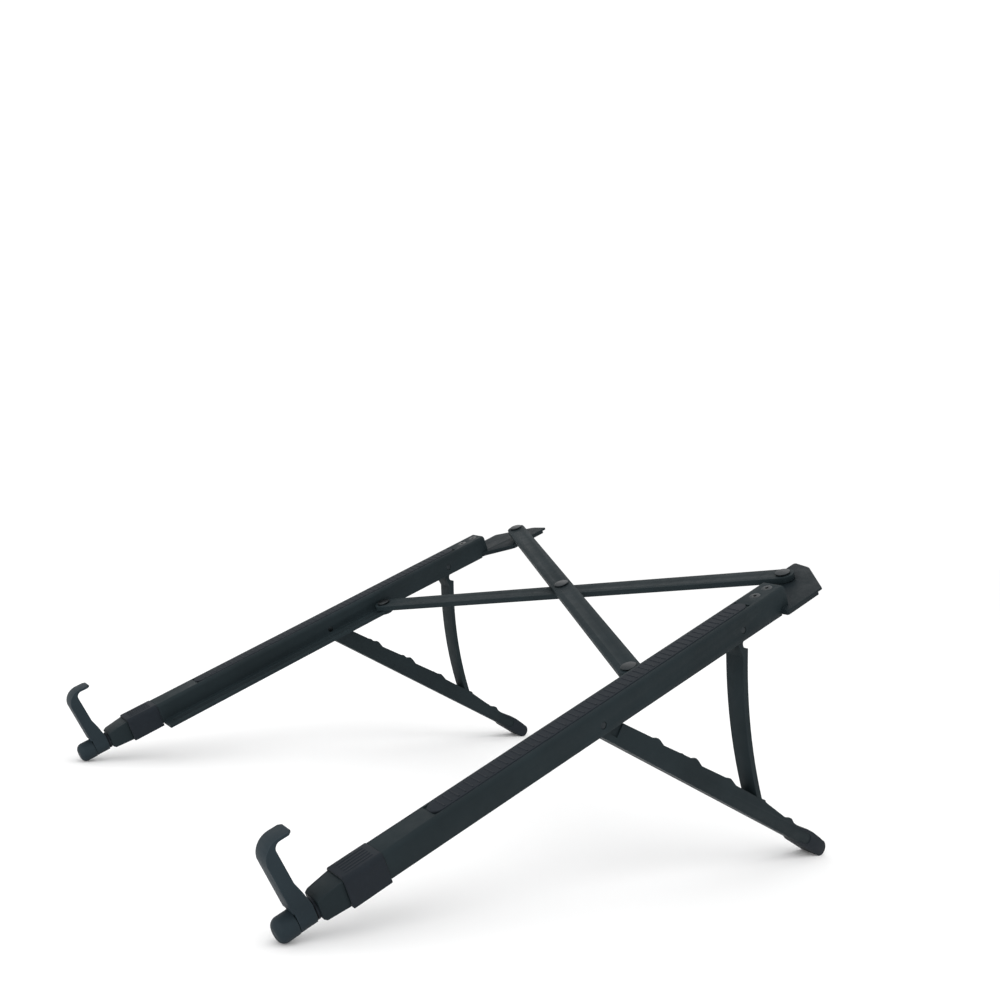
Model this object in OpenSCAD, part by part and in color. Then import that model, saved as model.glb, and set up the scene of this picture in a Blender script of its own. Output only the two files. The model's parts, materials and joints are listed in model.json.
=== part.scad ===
// Folding laptop stand: two propped side rails joined by a flat crossed-bar hinge.
// X runs across the stand, +Y to the back, +Z up. The origin is under the middle on the table.

/* [Stand] */
// distance between the two rail centre lines
rail_spacing = 228; // [200:1:260]
// rear end of the rails, along the rail from the front foot
rail_end = 248; // [240:1:260]

/* [Rail] */
// rail width across
rail_w = 12.8; // [12.4:0.1:14]
// rail underside at its front end, from the front foot axis
rail_low = -3.5; // [-4.5:0.1:-3.4]
// rail underside at its rear end, from the front foot axis
rail_low_rear = -5.3; // [-5.6:0.1:-4.5]
// rail top, above the front foot axis
rail_top = 6.5; // [6:0.1:8]
// inside width of the rail channel
channel_w = 10.6; // [10.5:0.05:11]
// underside of the rail roof
roof_low = 4.5; // [4.4:0.1:5]

/* [Front end] */
// height of the front foot axis over the table
axis_h = 5.1; // [5:0.05:5.3]
// radius of the front foot
knob_r = 4.6; // [4.4:0.1:4.8]
// radius of the front foot's rounded nose edge
nose_r = 2.8; // [2:0.1:3]
// stem radius of the front foot
stem_r = 2.5; // [2:0.1:2.6]
// radius of the hook collar
collar_r = 4.4; // [4.1:0.1:4.5]
// hook strap width
hook_w = 8.2; // [7:0.1:8.4]
// outer radius of the bend at the top of the hook
bend_r = 6.6; // [6:0.1:7]

/* [Leg] */
// leg hinge, along the rail
leg_s = 137; // [130:0.5:145]
// height of both hinge axes from the front foot axis
hinge_h = -0.6; // [-1:0.1:0]
// leg angle below the rail, degrees
leg_angle = 50.2; // [36:0.1:80]
// leg outside width
leg_w = 9.2; // [8.8:0.1:9.2]
// leg channel width
leg_gap = 6.4; // [6.2:0.1:6.6]
// underside of the leg, from the line through its hinge
leg_low = -4.1; // [-4.3:0.1:-3.8]
// centre of the rounded toe of the leg foot, from the leg hinge along the leg
sole_t = 154.9; // [150:0.1:158]
// centre of the rounded toe, from the line through the leg hinge
sole_w = -1.9; // [-2.2:0.1:-1.6]
// radius of the leg foot toe
sole_r = 3.6; // [3.4:0.1:3.8]

/* [Strut] */
// strut hinge, from the leg hinge along the rail
strut_gap = 82; // [81:0.5:84]
// strut width at the hinge
strut_w = 10.1; // [9:0.1:10.2]
// strut width at the toe
strut_toe_w = 8.6; // [8:0.1:9]
// strut thickness
strut_t = 2.6; // [2:0.1:3]
// bow of the strut at mid length
strut_bow = 2.6; // [0:0.1:3]

/* [Crossed bars] */
// bar hinge, along the rail
bar_s = 268; // [262:1:272]
// distance of the bar hinges inboard of each rail centre line
bar_in = 12; // [11:0.5:14]
// bar length between the end pins
bar_len = 226.5; // [220:0.5:235]
// bar width
bar_w = 10; // [8:0.5:10]
// bar thickness
bar_t = 2.7; // [2:0.1:3]

/* [Hidden] */
$fn = 64;
fit = 0.05;
pin_r = 1.5;
bar_pin_r = 2;
bend_s = 7;
bend_h = 24.4;
tip_cut = 1.1;
// where the strut toe sits on the leg's wall tops
seat_w = 4.6;
// the leg foot's toe centre in the rail plane, and the slope that stands it on the table
toe_s = leg_s + sole_t*cos(leg_angle) + sole_w*sin(leg_angle);
toe_h = hinge_h - sole_t*sin(leg_angle) + sole_w*cos(leg_angle);
tilt = atan2(-toe_h, toe_s) + asin((sole_r - axis_h)/norm([toe_s, toe_h]));
// the front foot's nose edge just touches the table
nose_s = -(axis_h - nose_r - (knob_r - nose_r)*cos(tilt))/sin(tilt);
back_y = toe_s*cos(tilt) - toe_h*sin(tilt) + sole_r;
front_y = bend_s*cos(tilt) - bend_h*sin(tilt) - bend_r;
mid_y = (back_y + front_y)/2;
strut_s = leg_s + strut_gap;
strut_len = strut_gap - seat_w/sin(leg_angle);
pin_gap = rail_spacing - 2*bar_in;
slide_s = bar_s - sqrt(bar_len*bar_len - pin_gap*pin_gap);
closed_gap = 16;
closed_s = bar_s - sqrt(bar_len*bar_len - closed_gap*closed_gap);
ledge_low = -4.1;
ledge_top = -2.3;
low_bar_h = -2.0;
high_bar_h = 1.0;
body_c = [0.2, 0.23, 0.25];
soft_c = [0.12, 0.13, 0.14];
steel_c = [0.3, 0.31, 0.32];

// from the sloping rail plane to the table frame
module sloped() {
  translate([0, -mid_y, axis_h]) rotate([tilt, 0, 0]) children();
}

// one side of the stand; inside, +x points outward from the rail centre line
module on_side(side) {
  sloped() translate([side*rail_spacing/2, 0, 0]) mirror([side < 0 ? 1 : 0, 0, 0]) children();
}

// leg coordinates: +y along the leg from its hinge, +z towards the back and up
module on_leg(side) {
  on_side(side) translate([0, leg_s, hinge_h]) rotate([-leg_angle, 0, 0]) children();
}

// strut coordinates: +y along the strut from its hinge, +z towards the back
module on_strut(side) {
  on_side(side) translate([0, strut_s, hinge_h]) rotate([-2*leg_angle, 0, 0]) children();
}

// a side profile in y and z, w wide and centred on x
module side_slab(w) {
  rotate([90, 0, 90]) translate([0, 0, -w/2]) linear_extrude(w) children();
}

// a section in x and z, from y0 to y1
module along(y0, y1) {
  translate([0, y1, 0]) rotate([90, 0, 0]) linear_extrude(y1 - y0) children();
}

// a round rod across x
module cross_rod(r, x0, x1) {
  translate([x0, 0, 0]) rotate([0, 90, 0]) cylinder(r = r, h = x1 - x0);
}

// rounded box outline in x and z
module rail_outline(w, z0, z1, r) {
  translate([-w/2 + r, z1 - r]) circle(r);
  translate([w/2 - r, z1 - r]) circle(r);
  translate([-w/2 + r, z0]) square([w - 2*r, z1 - z0]);
  translate([-w/2, z0]) square([w, z1 - z0 - r]);
}

// points of an arc round (y, z), from angle a0 to a1
function arc(y, z, r, a0, a1) = [for (i = [0 : 12])
  let (a = a0 + (a1 - a0)*i/12) [y + r*cos(a), z + r*sin(a)]];

// flat bar outline from y = 0 to y = len
module bar_outline(len, w) {
  circle(w/2);
  translate([0, len]) circle(w/2);
  translate([-w/2, 0]) square([w, len]);
}

module rail(side) {
  color(body_c) on_side(side) difference() {
    union() {
      difference() {
        along(36.7, rail_end) rail_outline(rail_w, rail_low_rear, rail_top, 1.8);
        side_slab(20) polygon([[36, -9], [36, rail_low], [rail_end + 1, rail_low_rear], [rail_end + 1, -9]]);
      }
      along(21, 37) rail_outline(rail_w - 1.6, rail_low + 0.5, rail_top - 0.7, 1.4);
      translate([-16, 37, ledge_low]) cube([10.6, slide_s - 29, ledge_top - ledge_low]);
    }
    translate([-channel_w/2, 40, -9]) cube([channel_w, rail_end, roof_low + 9]);
    translate([0, 20, 0]) rotate([-90, 0, 0]) cylinder(r = stem_r + fit, h = 13);
    translate([0, leg_s, hinge_h]) cross_rod(pin_r + fit, -10, 10);
    translate([0, strut_s, hinge_h]) cross_rod(pin_r + fit, -10, 10);
    translate([-bar_in, closed_s, ledge_low - 1]) linear_extrude(5)
      bar_outline(slide_s - closed_s, 2*bar_pin_r + 0.2);
    translate([-10, 243, -9]) cube([20, 10, ledge_top + 9]);
    translate([-4.2, 60, rail_top - 0.6]) cube([8.4, 168, 2]);
    for (s = [236, 244]) {
      translate([0, s, roof_low - 1]) cylinder(r = 1.3, h = 5);
      translate([0, s, rail_top - 1.2]) cylinder(r1 = 1.3, r2 = 2.6, h = 1.3);
    }
  }
}

module front_foot(side) {
  color(body_c) on_side(side) {
    translate([0, nose_s, 0]) rotate([90, 0, 0]) rotate_extrude() intersection() {
      union() {
        translate([knob_r - nose_r, 0]) circle(nose_r);
        square([knob_r - nose_r, nose_r]);
      }
      square(knob_r + 1);
    }
    translate([0, nose_s, 0]) rotate([-90, 0, 0]) cylinder(r = knob_r, h = 2.9 - nose_s);
    rotate([-90, 0, 0]) cylinder(r = stem_r, h = 32);
  }
}

// side outline of the hook strap, from its collar up round the bend to its tip
module hook_outline() {
  polygon(concat([[3.1, 0], [3.1, 4.75], [2.5, 4.75]], arc(bend_s, bend_h, bend_r, 180, 90),
    arc(11.3, 30.45, 0.55, 90, -90), arc(7.2, 27.6, 2.3, 90, 187),
    [[6.4, 14.3], [7.9, 9.8], [9.1, 5], [9.4, 3.6], [9.4, 0]]));
}

module hook(side) {
  color(body_c) on_side(side) difference() {
    union() {
      translate([0, 3.1, 0]) rotate([-90, 0, 0]) cylinder(r = collar_r, h = 6.3);
      side_slab(hook_w) hook_outline();
    }
    rotate([-90, 0, 0]) cylinder(r = stem_r + fit, h = 20);
    for (x = [-1, 1]) translate([x*hook_w/2, 12, 28]) rotate([0, 0, 45])
      translate([-tip_cut, -tip_cut, 0]) cube([2*tip_cut, 2*tip_cut, 9]);
  }
}

module hook_washer(side) {
  color(soft_c) on_side(side) translate([0, 9.9, 0]) rotate([-90, 0, 0]) difference() {
    cylinder(r = 4, h = 0.95);
    translate([0, 0, -1]) cylinder(r = stem_r + fit, h = 3);
  }
}

module front_collar(side) {
  color(body_c) on_side(side) difference() {
    intersection() {
      side_slab(20)
        polygon([[10.9, -2.9], [11.9, -3.7], [20.9, -4.2], [20.9, 5.8], [12.4, 4.6], [10.9, 3.9]]);
      linear_extrude(30, center = true)
        polygon([[-4.8, 10.9], [4.8, 10.9], [5.2, 11.9], [5.5, 20.9], [-5.5, 20.9], [-5.2, 11.9]]);
    }
    translate([0, 10, 0]) rotate([-90, 0, 0]) cylinder(r = stem_r + fit, h = 20);
  }
}

module front_sleeve(side) {
  color(soft_c) on_side(side) difference() {
    along(21, 36.6) rail_outline(rail_w + 0.6, rail_low - 1.35, rail_top + 0.3, 2);
    along(20, 38) rail_outline(rail_w - 1.5, rail_low + 0.45, rail_top - 0.65, 1.45);
  }
}

module rear_plate(side) {
  color(body_c) on_side(side) difference() {
    union() {
      translate([0, 0, -4.8]) linear_extrude(1.6)
        polygon([[9.2, 243.1], [9.8, 243.8], [9.8, 264.2], [-9.7, 280.4], [-17.8, 282.4], [-18.6, 281.6],
          [-18.6, 259.2], [-17.6, 257.6], [-6.8, 245.2], [-6, 243.1]]);
      translate([0, 0, -3.3]) linear_extrude(1)
        polygon([[9.4, 243], [10.1, 243.8], [10.2, 266.5], [-8.4, 281.9], [-10, 282.6], [-18.2, 284.4],
          [-19, 283.6], [-19, 259], [-18, 257.4], [-7, 245], [-6.2, 243]]);
      translate([-5.1, 234, -1]) cube([10.2, 14, roof_low + 0.9]);
      translate([-5.1, 243.1, -4]) cube([10.2, 4.9, 4]);
    }
    translate([-bar_in, bar_s, -6]) cylinder(r = bar_pin_r + fit, h = 6);
    for (s = [236, 244]) translate([0, s, -0.9]) cylinder(r = 1.1, h = 8);
  }
}

module plate_screws(side) {
  color(steel_c) on_side(side) for (s = [236, 244]) translate([0, s, 0]) difference() {
    union() {
      translate([0, 0, -0.6]) cylinder(r = 1.05, h = 6.4);
      translate([0, 0, rail_top - 1.15]) cylinder(r1 = 1.1, r2 = 2.4, h = 1.15);
    }
    translate([0, 0, rail_top - 0.7]) cylinder(r = 0.8, h = 1, $fn = 6);
  }
}

module top_pad(side) {
  color(soft_c) on_side(side) translate([0, 64.2, rail_top - 0.6]) linear_extrude(0.9)
    bar_outline(159.6, 8.2);
}

// side outline of the leg: its length in y, and its toothed wall tops in z
module leg_profile() {
  polygon([[0, leg_low], [136.5, leg_low], [136.5, 1.9], [131, 2.4], [128.8, 3.5], [127.6, 3.6],
    [126, 3.1], [124, 2.7], [110, 4.2], [107.8, 4.5], [107, 5.1], [105.9, 5.1], [105.3, seat_w],
    [85.6, seat_w], [82.6, 5.6], [81, 6.1], [78.8, 5.5], [61.4, 4.8], [58.2, 6.1], [56.6, 6.5],
    [54.6, 5.6], [36.2, 4.7], [33, 5.9], [31.7, 6.1], [29.6, 5.3], [8, 4.5], [0, 4.5]]);
}

// side outline of the rounded leg end inside the rubber foot
module leg_end() {
  polygon([[136, leg_low], [138.8, leg_low], [141, -3.6], [143.6, -3.4], [143.6, 1.4], [136, 1.4]]);
  translate([143.6, -1]) circle(2.4);
}

module leg(side) {
  color(body_c) on_leg(side) difference() {
    union() {
      side_slab(leg_w) leg_profile();
      side_slab(leg_w) leg_end();
      cross_rod(4.4, -5.1, 5.1);
    }
    translate([-leg_gap/2, 7, leg_low + 1.4]) cube([leg_gap, 126, 20]);
    translate([-leg_gap/2, -10, -0.6]) cube([leg_gap, 18, 10]);
    cross_rod(pin_r + fit, -10, 10);
    translate([leg_w/2 - 0.8, 6.3, -1.6]) cube([2, 4.4, 7]);
  }
}

module leg_foot(side) {
  color(soft_c) on_leg(side) side_slab(leg_w + 0.5) difference() {
    union() {
      translate([sole_t, sole_w]) circle(sole_r);
      polygon([[136.6, 1.9], [136.6, 1.2], [138.9, 1.2], [138.9, leg_low], [139.7, leg_low], [141.2, -4.7],
        [154.2, -5.43], [158, -3.7], [158, -0.1], [156.6, 1.27], [152.4, 2.1], [146, 2.8], [141, 2.8],
        [137.6, 2.2]]);
    }
    leg_end();
  }
}

// the middle of the strut's thickness, bowed towards the front
function strut_mid(u) = 1.4 - strut_bow*(1 - pow((u - 43)/33, 2));

module strut(side) {
  front = [for (u = [11 : 5.5 : 82.5]) [u, strut_mid(u) - strut_t/2]];
  rear = [for (u = [82.5 : -5.5 : 11]) [u, strut_mid(u) + strut_t/2]];
  toe = strut_len - 2*fit;
  slant = 9/tan(leg_angle);
  color(body_c) on_strut(side) difference() {
    union() {
      intersection() {
        side_slab(20) difference() {
          union() {
            polygon(concat(front, rear));
            polygon([[0, -3.4], [6, -2.6], [12, strut_mid(12) - strut_t/2], [12, strut_mid(12) + strut_t/2],
              [9.4, 2.8], [0, 3.4]]);
          }
          translate([6.6, 2.6]) circle(2.5);
          polygon([[toe - slant, -9], [toe + slant, 9], [99, 9], [99, -9]]);
        }
        linear_extrude(30, center = true) polygon([[-strut_w/2, -4], [strut_w/2, -4], [strut_w/2, 11],
          [strut_toe_w/2, 80], [-strut_toe_w/2, 80], [-strut_w/2, 11]]);
      }
      cross_rod(3.4, -5.05, 5.05);
    }
    cross_rod(pin_r + fit, -10, 10);
  }
}

module hinge_pin(side, s) {
  color(steel_c) on_side(side) translate([0, s, hinge_h]) cross_rod(pin_r, -rail_w/2 + 0.2, rail_w/2 - 0.2);
}

// headed pin: shoulder between the plate and its bar, heads at both ends
module headed_pin(low_h, bar_h) {
  translate([0, 0, low_h]) cylinder(r = bar_pin_r, h = bar_h + bar_t + 0.4 - low_h);
  translate([0, 0, low_h - 0.8]) cylinder(r = 3.4, h = 0.8);
  translate([0, 0, ledge_top + 0.1]) cylinder(r = 3.4, h = bar_h - ledge_top - 0.2);
  translate([0, 0, bar_h + bar_t + 0.1]) cylinder(r = 3.4, h = 0.8);
}

module rear_pivot(side) {
  bar_h = side > 0 ? low_bar_h : high_bar_h;
  color(steel_c) on_side(side) translate([-bar_in, bar_s, 0]) headed_pin(-4.9, bar_h);
}

module slide_pin(side) {
  bar_h = side > 0 ? high_bar_h : low_bar_h;
  color(steel_c) on_side(side) translate([-bar_in, slide_s, 0]) headed_pin(ledge_low - 0.1, bar_h);
}

// flat bar from the rear hinge of one side to the front slide of the other side
module cross_bar(side, bar_h) {
  swing = asin(pin_gap/bar_len);
  color(body_c) sloped() translate([side*pin_gap/2, bar_s, bar_h]) rotate([0, 0, 180 - side*swing])
    linear_extrude(bar_t) difference() {
      bar_outline(bar_len, bar_w);
      circle(bar_pin_r + fit);
      translate([0, bar_len]) circle(bar_pin_r + fit);
      translate([0, bar_len/2]) circle(bar_pin_r + fit);
    }
}

module right_rail() { rail(1); }
module right_front_foot() { front_foot(1); }
module right_hook() { hook(1); }
module right_hook_washer() { hook_washer(1); }
module right_front_collar() { front_collar(1); }
module right_front_sleeve() { front_sleeve(1); }
module right_rear_plate() { rear_plate(1); }
module right_plate_screws() { plate_screws(1); }
module right_top_pad() { top_pad(1); }
module right_leg() { leg(1); }
module right_leg_foot() { leg_foot(1); }
module right_strut() { strut(1); }
module right_leg_pin() { hinge_pin(1, leg_s); }
module right_strut_pin() { hinge_pin(1, strut_s); }
module right_rear_pivot() { rear_pivot(1); }
module right_slide_pin() { slide_pin(1); }
module left_rail() { rail(-1); }
module left_front_foot() { front_foot(-1); }
module left_hook() { hook(-1); }
module left_hook_washer() { hook_washer(-1); }
module left_front_collar() { front_collar(-1); }
module left_front_sleeve() { front_sleeve(-1); }
module left_rear_plate() { rear_plate(-1); }
module left_plate_screws() { plate_screws(-1); }
module left_top_pad() { top_pad(-1); }
module left_leg() { leg(-1); }
module left_leg_foot() { leg_foot(-1); }
module left_strut() { strut(-1); }
module left_leg_pin() { hinge_pin(-1, leg_s); }
module left_strut_pin() { hinge_pin(-1, strut_s); }
module left_rear_pivot() { rear_pivot(-1); }
module left_slide_pin() { slide_pin(-1); }
module cross_bar_lower() { cross_bar(1, low_bar_h); }
module cross_bar_upper() { cross_bar(-1, high_bar_h); }
module centre_rivet() {
  color(steel_c) sloped() translate([0, (bar_s + slide_s)/2, 0]) {
    translate([0, 0, low_bar_h - 0.3]) cylinder(r = bar_pin_r, h = high_bar_h + bar_t - low_bar_h + 0.6);
    translate([0, 0, low_bar_h - 0.9]) cylinder(r = 3.6, h = 0.8);
    translate([0, 0, high_bar_h + bar_t + 0.1]) cylinder(r = 3.6, h = 0.8);
  }
}

right_rail();
right_front_foot();
right_hook();
right_hook_washer();
right_front_collar();
right_front_sleeve();
right_rear_plate();
right_plate_screws();
right_top_pad();
right_leg();
right_leg_foot();
right_strut();
right_leg_pin();
right_strut_pin();
right_rear_pivot();
right_slide_pin();
left_rail();
left_front_foot();
left_hook();
left_hook_washer();
left_front_collar();
left_front_sleeve();
left_rear_plate();
left_plate_screws();
left_top_pad();
left_leg();
left_leg_foot();
left_strut();
left_leg_pin();
left_strut_pin();
left_rear_pivot();
left_slide_pin();
cross_bar_lower();
cross_bar_upper();
centre_rivet();
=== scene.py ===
import json
import math

import bmesh
import bpy
from mathutils import Matrix, Vector


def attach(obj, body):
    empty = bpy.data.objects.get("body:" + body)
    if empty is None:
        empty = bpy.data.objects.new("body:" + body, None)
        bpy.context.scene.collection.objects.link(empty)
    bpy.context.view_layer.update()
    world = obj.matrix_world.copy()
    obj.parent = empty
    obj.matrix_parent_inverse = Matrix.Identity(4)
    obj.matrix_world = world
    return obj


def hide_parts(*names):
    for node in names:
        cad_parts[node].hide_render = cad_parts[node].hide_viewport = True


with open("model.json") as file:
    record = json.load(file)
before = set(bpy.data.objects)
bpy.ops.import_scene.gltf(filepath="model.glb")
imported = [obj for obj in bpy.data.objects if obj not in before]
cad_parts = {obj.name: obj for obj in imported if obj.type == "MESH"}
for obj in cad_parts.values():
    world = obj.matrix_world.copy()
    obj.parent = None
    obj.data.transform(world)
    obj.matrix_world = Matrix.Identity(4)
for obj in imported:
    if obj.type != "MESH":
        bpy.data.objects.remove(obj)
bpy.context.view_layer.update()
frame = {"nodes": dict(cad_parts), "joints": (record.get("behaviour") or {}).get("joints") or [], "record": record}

MM = 0.001
record = frame["record"]
scene = bpy.context.scene


# ---------------------------------------------------------------- the sloping rail plane

def joint(name):
    return next(j for j in frame["joints"] if j["name"] == name)


# the fold hinge stands square to the rail plane, and the hook turns about the front foot's axis
RAIL_NORMAL = Vector(joint("fold")["axis"])
FOOT = Vector(joint("right_hook_swivel")["pos_m"])
TILT = math.atan2(-RAIL_NORMAL.y, RAIL_NORMAL.z)
SLOPE = Matrix.Rotation(TILT, 4, "X")


def rail_frame(x, s, h):
    """A point in metres, from millimetres across, along and above the rails.

    The rail plane's own origin is midway between the axes of the two front feet.
    """
    return Vector((0, FOOT.y, FOOT.z)) + SLOPE @ (Vector((x, s, h)) * MM)


def rail_box(node):
    """A node's lowest and highest corners in millimetres across, along and above the rails."""
    back = SLOPE.inverted()
    centre = Vector((0, FOOT.y, FOOT.z))
    points = [back @ (vertex.co - centre) / MM for vertex in frame["nodes"][node].data.vertices]
    return [Vector([pick(point[i] for point in points) for i in range(3)]) for pick in (min, max)]


# ---------------------------------------------------------------- camera

# the camera is beside and ahead of the right-hand rail: its place in millimetres and its directions,
# all given across, along and above the rails
CAMERA_PLACE = (436.0, -79.85, 206.2)
CAMERA_RIGHT = Vector((0.5811, 0.7655, -0.2761))
CAMERA_UP = Vector((-0.0672, 0.3833, 0.9212))
CAMERA_FORWARD = Vector((-0.8110, 0.5168, -0.2742))
# the sensor's width and the lens's focal length in millimetres, and the nearest distance seen in metres
SENSOR = 36
LENS = 40.03
NEAREST = 0.01


def make_camera():
    """The viewpoint of the main picture."""
    axes = (SLOPE @ CAMERA_RIGHT, SLOPE @ CAMERA_UP, -(SLOPE @ CAMERA_FORWARD))
    turn = Matrix(axes).transposed().to_4x4()
    data = bpy.data.cameras.new("camera")
    data.sensor_width = SENSOR
    data.lens = LENS
    data.clip_start = NEAREST
    camera = bpy.data.objects.new("camera", data)
    camera.matrix_world = Matrix.Translation(rail_frame(*CAMERA_PLACE)) @ turn
    scene.collection.objects.link(camera)
    scene.camera = camera


# ---------------------------------------------------------------- materials

# the Mix node's colour sockets share their names with its number sockets, so they go by position
MIX_FACTOR, MIX_A, MIX_B, MIX_RESULT = 0, 6, 7, 2


class Nodes:
    """A short way to write a material's node tree."""

    def __init__(self, name):
        self.material = bpy.data.materials.new(name)
        self.material.use_nodes = True
        self.tree = self.material.node_tree
        self.shader = self.tree.nodes["Principled BSDF"]
        self.place = self.tree.nodes.new("ShaderNodeTexCoord").outputs["Object"]

    def feed(self, target, value):
        """Link the target to the value if that is a socket, and otherwise set it as a constant."""
        if isinstance(value, bpy.types.NodeSocket):
            self.tree.links.new(value, target)
        else:
            target.default_value = value

    def add(self, kind, settings=None, **inputs):
        """A new node with its settings, and with its inputs fed by name."""
        node = self.tree.nodes.new(kind)
        for key, value in (settings or {}).items():
            setattr(node, key, value)
        for key, value in inputs.items():
            self.feed(node.inputs[key.replace("_", " ")], value)
        return node

    def noise(self, per_mm, detail=2.0, rough=0.5, vector=None):
        """Noise with about per_mm lumps to the millimetre."""
        node = self.add("ShaderNodeTexNoise", Vector=vector or self.place, Scale=per_mm / MM,
                        Detail=detail, Roughness=rough)
        return node.outputs["Fac"]

    def remap(self, value, low, high, from_low=0.3, from_high=0.7):
        """The value stretched from its usual middle range to low and high, and held there."""
        node = self.add("ShaderNodeMapRange", Value=value, From_Min=from_low, From_Max=from_high,
                        To_Min=low, To_Max=high)
        return node.outputs["Result"]

    def mix(self, factor, a, b):
        """A colour between a and b."""
        node = self.add("ShaderNodeMix", {"data_type": "RGBA"})
        for position, value in ((MIX_FACTOR, factor), (MIX_A, a), (MIX_B, b)):
            self.feed(node.inputs[position], value)
        return node.outputs[MIX_RESULT]

    def times(self, a, b):
        """The product of two values."""
        node = self.add("ShaderNodeMath", {"operation": "MULTIPLY"})
        for target, value in zip(node.inputs, (a, b)):
            self.feed(target, value)
        return node.outputs["Value"]

    def scratches(self):
        """Sparse hairline scuffs, long along the rails."""
        stretch = self.add("ShaderNodeMapping", Vector=self.place, Scale=(1.0, 0.08, 1.0))
        scuffs = self.noise(1.6, vector=stretch.outputs["Vector"])
        return self.remap(scuffs, 0.0, 1.0, from_low=0.62, from_high=0.68)

    def edges(self, radius_mm):
        """1 on outside and inside edges, 0 on flat faces."""
        bevel = self.add("ShaderNodeBevel", {"samples": 6}, Radius=radius_mm * MM)
        geometry = self.add("ShaderNodeNewGeometry")
        dot = self.add("ShaderNodeVectorMath", {"operation": "DOT_PRODUCT"})
        for target, node in zip(dot.inputs, (bevel, geometry)):
            self.feed(target, node.outputs["Normal"])
        return self.remap(dot.outputs["Value"], 1.0, 0.0, from_low=0.86, from_high=0.995)

    def bump(self, height, strength, distance_mm, normal=None):
        """A surface normal that follows the height, on top of an earlier one where that is given."""
        node = self.add("ShaderNodeBump", Height=height, Strength=strength, Distance=distance_mm * MM)
        if normal:
            self.feed(node.inputs["Normal"], normal)
        return node.outputs["Normal"]

    def finish(self, color, roughness, normal, **constants):
        """Feed the shader its three changing inputs, and its constants by name."""
        inputs = {"Base_Color": color, "Roughness": roughness, "Normal": normal, **constants}
        for key, value in inputs.items():
            self.feed(self.shader.inputs[key.replace("_", " ")], value)
        return self.material


def rgb(r, g, b):
    return (r, g, b, 1.0)


def toned(base, times, plus=0.0):
    """A colour made paler or darker, channel by channel."""
    return rgb(*(times * channel + plus for channel in base))


def moulded_plastic(name, base):
    """Dark moulded nylon: fine grain, flow clouds, hairline scuffs and paler rubbed edges."""
    n = Nodes(name)
    cloud = n.noise(0.035, 3.0)
    grain = n.noise(3.2, 3.0, 0.6)
    fine = n.noise(9.0, 1.0)
    body = n.mix(n.remap(cloud, 0.0, 1.0), toned(base, 0.82), toned(base, 1.16))
    body = n.mix(n.remap(grain, 0.0, 0.16, from_low=0.4, from_high=0.8), body, toned(base, 1.6))
    patchy = n.times(n.edges(0.5), n.remap(n.noise(0.12, 4.0, 0.7), 0.1, 0.5))
    color = n.mix(patchy, body, toned(base, 2.2, 0.008))
    rough = n.remap(n.noise(0.25, 4.0, 0.6), 0.52, 0.64)
    normal = n.bump(grain, 0.32, 0.05)
    normal = n.bump(fine, 0.22, 0.02, normal)
    normal = n.bump(n.scratches(), 0.03, 0.02, normal)
    return n.finish(color, rough, normal, Specular_IOR_Level=0.10)


def soft_rubber(name, base):
    """Matte silicone, a little dusty, with a soft sheen and a faint skin texture."""
    n = Nodes(name)
    skin = n.noise(5.5, 3.0, 0.6)
    dust = n.noise(0.4, 5.0, 0.75)
    dusty = n.remap(dust, 0.0, 0.5, from_low=0.45, from_high=0.75)
    color = n.mix(dusty, rgb(*base), toned(base, 1.45, 0.004))
    rough = n.remap(dust, 0.66, 0.84)
    normal = n.bump(skin, 0.3, 0.03)
    return n.finish(color, rough, normal, Specular_IOR_Level=0.12, Sheen_Weight=0.04, Sheen_Roughness=0.5)


def blackened_steel(name):
    """Blackened, satin steel with fine turning lines and a little bare metal at worn edges."""
    n = Nodes(name)
    stretch = n.add("ShaderNodeMapping", Vector=n.place, Scale=(6.0, 1.0, 1.0))
    lines = n.noise(6.0, vector=stretch.outputs["Vector"])
    tarnish = n.noise(0.5, 4.0, 0.6)
    black = n.mix(n.remap(tarnish, 0.0, 1.0), rgb(0.020, 0.025, 0.028), rgb(0.036, 0.042, 0.046))
    worn = n.times(n.edges(0.2), n.remap(n.noise(0.9, 3.0), 0.1, 0.8))
    color = n.mix(worn, black, rgb(0.16, 0.165, 0.17))
    rough = n.remap(lines, 0.30, 0.46)
    return n.finish(color, rough, n.bump(lines, 0.2, 0.01), Metallic=1.0)


MATERIALS = {
    "body_plastic": moulded_plastic("body_plastic", (0.0108, 0.0172, 0.0200)),
    "soft_rubber": soft_rubber("soft_rubber", (0.0092, 0.0128, 0.0172)),
    "pin_steel": blackened_steel("pin_steel"),
}
# the hooks and front feet get a paler copy of the body plastic as painted light,
# and the rear plates a darker copy of it as painted shade
FRONT_PAINTED_LIGHT_PLASTIC = moulded_plastic("front_painted_light_plastic", (0.0152, 0.0235, 0.0290))
REAR_PAINTED_SHADE_PLASTIC = moulded_plastic("rear_painted_shade_plastic", (0.0074, 0.0122, 0.0150))
PAINTED_LIGHT_AND_SHADE = {"hook": FRONT_PAINTED_LIGHT_PLASTIC, "front_foot": FRONT_PAINTED_LIGHT_PLASTIC, "rear_plate": REAR_PAINTED_SHADE_PLASTIC}
SLOTS = {row["node"]: row["material_slot"] for row in record["subparts"]}
BODY_OF = {node: body for body, nodes in record["behaviour"]["bodies"].items() for node in nodes}


def paint(piece, slot, part=None):
    """Give a piece its slot's material, or the paler or darker copy of it that paints light or shade on its part.
    """
    piece.data.materials.clear()
    piece.data.materials.append(PAINTED_LIGHT_AND_SHADE.get(part, MATERIALS[slot]))


# ---------------------------------------------------------------- pieces

# rounded edges: faces across each one, the least angle that is rounded, and the angle below which
# neighbouring faces count as one flat face
ROUND_SEGMENTS = 3
ROUND_ANGLE = math.radians(32)
FLAT_ANGLE = math.radians(0.6)
# points of a mesh that are closer than this are joined
JOIN = 0.002 * MM
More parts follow.
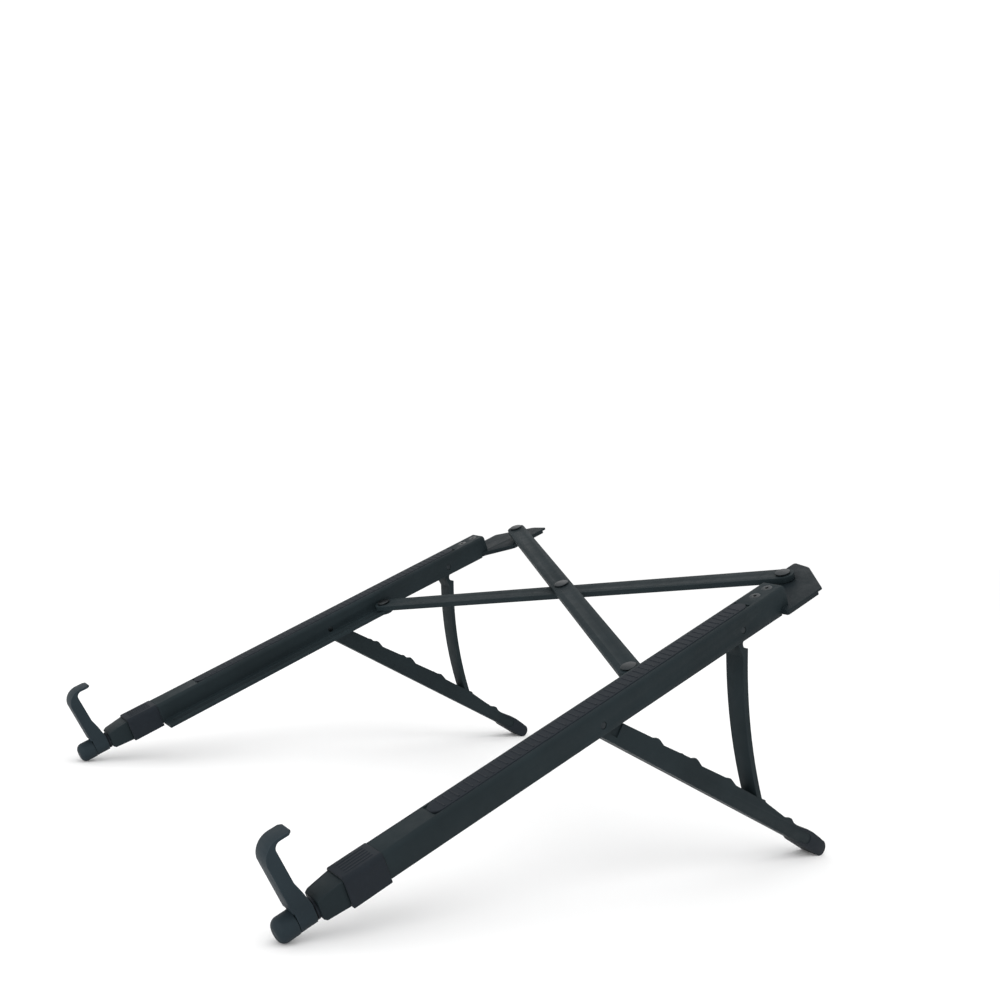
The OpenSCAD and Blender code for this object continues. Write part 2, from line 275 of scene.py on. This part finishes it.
# the edge radius, in millimetres, of each part that both sides have, and of the parts between them
ROUNDING = {"rail": 0.4, "hook": 0.45, "front_collar": 0.5, "front_sleeve": 0.35, "rear_plate": 0.5,
            "leg": 0.35, "leg_foot": 0.6, "strut": 0.4, "top_pad": 0.3, "front_foot": 0.3,
            "leg_pin": 0.3, "strut_pin": 0.3, "rear_pivot": 0.25, "slide_pin": 0.25,
            "plate_screws": 0.12, "hook_washer": 0.12}
MIDDLE_ROUNDING = {"cross_bar_lower": 0.5, "cross_bar_upper": 0.5, "centre_rivet": 0.25}


def bake_modifiers(piece):
    """Put the piece's modifiers into its mesh."""
    bpy.context.view_layer.update()
    graph = bpy.context.evaluated_depsgraph_get()
    mesh = bpy.data.meshes.new_from_object(piece.evaluated_get(graph))
    piece.modifiers.clear()
    piece.data = mesh


def rounded(node, width_mm):
    """The CAD node's own shape with its moulded edge radii."""
    piece = bpy.data.objects.new(node + "_shell", frame["nodes"][node].data.copy())
    scene.collection.objects.link(piece)
    shape = bmesh.new()
    shape.from_mesh(piece.data)
    bmesh.ops.remove_doubles(shape, verts=shape.verts, dist=JOIN)
    bmesh.ops.dissolve_limit(shape, angle_limit=FLAT_ANGLE, verts=shape.verts, edges=shape.edges)
    shape.to_mesh(piece.data)
    shape.free()
    piece.data.shade_smooth()
    bevel = piece.modifiers.new("round", "BEVEL")
    bevel.width = width_mm * MM
    bevel.segments = ROUND_SEGMENTS
    bevel.limit_method = "ANGLE"
    bevel.angle_limit = ROUND_ANGLE
    bevel.harden_normals = True
    bevel.miter_outer = "MITER_ARC"
    weld = piece.modifiers.new("weld", "WELD")
    weld.merge_threshold = JOIN
    bake_modifiers(piece)
    paint(piece, SLOTS[node], node.split("_", 1)[1])
    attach(piece, BODY_OF[node])
    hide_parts(node)


# ridges: faces round each one, its height against its half width, the millimetres that it is set in,
# and the angle above which an edge stays sharp
RIDGE_STEPS = 6
RIDGE_CROWN = 0.7
RIDGE_SINK = 0.1
RIDGE_SMOOTH = math.radians(50)
RAIL_UP = SLOPE.to_3x3() @ Vector((0, 0, 1))


def ridge_rows(name, rows, radius_mm, body, slot):
    """Low half-round moulded ridges; each row is a ridge's start and end, in metres."""
    shape = bmesh.new()
    radius = radius_mm * MM
    profile = [math.pi * i / RIDGE_STEPS for i in range(RIDGE_STEPS + 1)]
    for start, end in rows:
        run = (end - start).normalized()
        wide = run.cross(RAIL_UP).normalized() * radius
        high = RAIL_UP * radius * RIDGE_CROWN
        near, far = [[shape.verts.new(centre + wide * math.cos(a) + high * math.sin(a)) for a in profile]
                     for centre in (start, end)]
        for i in range(RIDGE_STEPS):
            shape.faces.new((near[i], near[i + 1], far[i + 1], far[i]))
        shape.faces.new(far)
        shape.faces.new(near[::-1])
        shape.faces.new((near[0], far[0], far[-1], near[-1]))
    bmesh.ops.recalc_face_normals(shape, faces=shape.faces)
    mesh = bpy.data.meshes.new(name)
    shape.to_mesh(mesh)
    shape.free()
    piece = bpy.data.objects.new(name, mesh)
    scene.collection.objects.link(piece)
    piece.data.shade_smooth()
    piece.data.set_sharp_from_angle(angle=RIDGE_SMOOTH)
    paint(piece, slot)
    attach(piece, body)


def pad_ribs(side):
    """Grip ribs across the rubber pad on top of the rail."""
    low, high = rail_box(f"{side}_top_pad")
    end_gap, side_gap, pitch, radius = 5.0, 1.1, 3.2, 0.45
    top = high.z - RIDGE_SINK
    rows = []
    for i in range(int((high.y - low.y - 2 * end_gap) / pitch) + 1):
        s = low.y + end_gap + i * pitch
        rows.append((rail_frame(low.x + side_gap, s, top), rail_frame(high.x - side_gap, s, top)))
    ridge_rows(f"{side}_pad_ribs", rows, radius, f"{side}_frame", "soft_rubber")


def sleeve_ribs(side):
    """Grip ribs along the top of the rubber sleeve where the laptop's front corner rests."""
    low, high = rail_box(f"{side}_front_sleeve")
    end_gap, pitch, radius = 2.4, 1.7, 0.4
    top = high.z - RIDGE_SINK
    rows = []
    for step in (-2, -1, 0, 1, 2):
        x = (low.x + high.x) / 2 + step * pitch
        rows.append((rail_frame(x, low.y + end_gap, top), rail_frame(x, high.y - end_gap, top)))
    ridge_rows(f"{side}_sleeve_ribs", rows, radius, f"{side}_frame", "soft_rubber")


for side in ("right", "left"):
    for part, width in ROUNDING.items():
        rounded(f"{side}_{part}", width)
    pad_ribs(side)
    sleeve_ribs(side)
for node, width in MIDDLE_ROUNDING.items():
    rounded(node, width)


# ---------------------------------------------------------------- floor and light

FLOOR_RADIUS = 6.0
FLOOR_SIDES = 96
WHITE = rgb(1.0, 1.0, 1.0)
ROOM_STRENGTH = 1.08


def make_floor():
    """A plain pale floor, wide enough to reach past the view."""
    shape = bmesh.new()
    bmesh.ops.create_circle(shape, cap_ends=True, radius=FLOOR_RADIUS, segments=FLOOR_SIDES)
    mesh = bpy.data.meshes.new("floor")
    shape.to_mesh(mesh)
    shape.free()
    floor = bpy.data.objects.new("floor", mesh)
    n = Nodes("pale_floor")
    color = n.mix(n.noise(0.004, 2.0), rgb(0.93, 0.93, 0.93), rgb(0.95, 0.95, 0.95))
    rough = n.remap(n.noise(0.01), 0.85, 0.9)
    n.finish(color, rough, n.bump(n.noise(0.5), 0.02, 0.05), Specular_IOR_Level=0.0)
    mesh.materials.append(n.material)
    scene.collection.objects.link(floor)


def softbox(name, place, aim, size, watts):
    """A square lamp at a place in metres, turned to a point on the stand."""
    data = bpy.data.lights.new(name, "AREA")
    data.shape = "SQUARE"
    data.size = size
    data.energy = watts
    lamp = bpy.data.objects.new(name, data)
    lamp.location = place
    lamp.rotation_euler = (Vector(aim) - Vector(place)).to_track_quat("-Z", "Y").to_euler()
    scene.collection.objects.link(lamp)


def make_light():
    """An even white room, a lamp overhead and a lamp in front to the right."""
    world = bpy.data.worlds.new("studio")
    world.use_nodes = True
    background = world.node_tree.nodes["Background"]
    background.inputs["Color"].default_value = WHITE
    background.inputs["Strength"].default_value = ROOM_STRENGTH
    scene.world = world
    softbox("overhead", place=(0.1, 0.1, 1.3), aim=(0, 0.05, 0.05), size=1.0, watts=1.5)
    softbox("front_fill", place=(0.7, -1.4, 0.6), aim=(0, 0.0, 0.05), size=0.9, watts=9.0)


make_camera()
make_floor()
make_light()
scene.view_settings.view_transform = "Standard"
